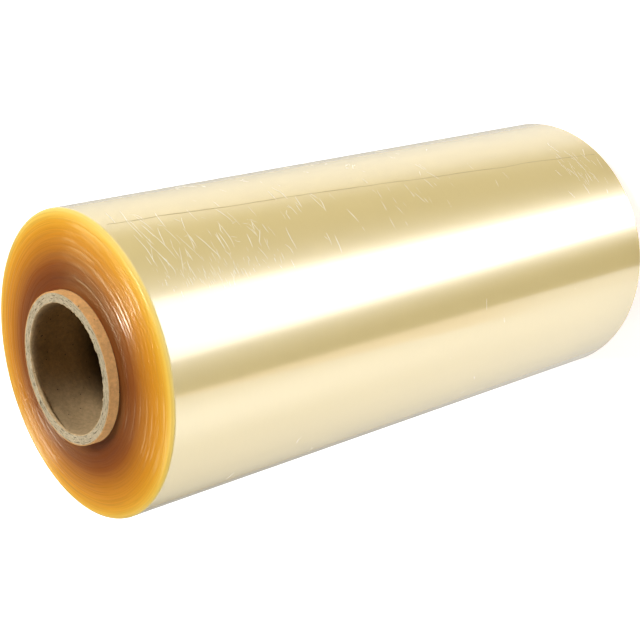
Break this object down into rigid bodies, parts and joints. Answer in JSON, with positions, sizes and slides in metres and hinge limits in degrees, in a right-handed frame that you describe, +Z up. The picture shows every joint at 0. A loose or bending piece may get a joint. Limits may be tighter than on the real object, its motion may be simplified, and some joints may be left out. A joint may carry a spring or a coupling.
{
  "type": "cling film roll",
  "caption": "Wide catering roll of clear stretch food film wound on a cardboard core, with the core's open ends standing out for a dispenser or wrapping machine.",
  "frame": {"origin": "on the roll's axis, in the plane of the core's lower end, which the roll stands on", "axes": "+Z up the roll's axis; the roll is round, so +X and +Y are free"},
  "size_m": [0.18, 0.18, 0.42],
  "materials": {
    "wound_film": "glossy pale straw sheen round the side, honey to brown on the wound ends",
    "core_board": "matt kraft liner over grey board plies"
  },
  "bodies": {
    "root": {"cardboard_core": "core_board", "film_winding": "wound_film"}
  },
  "joints": []
}
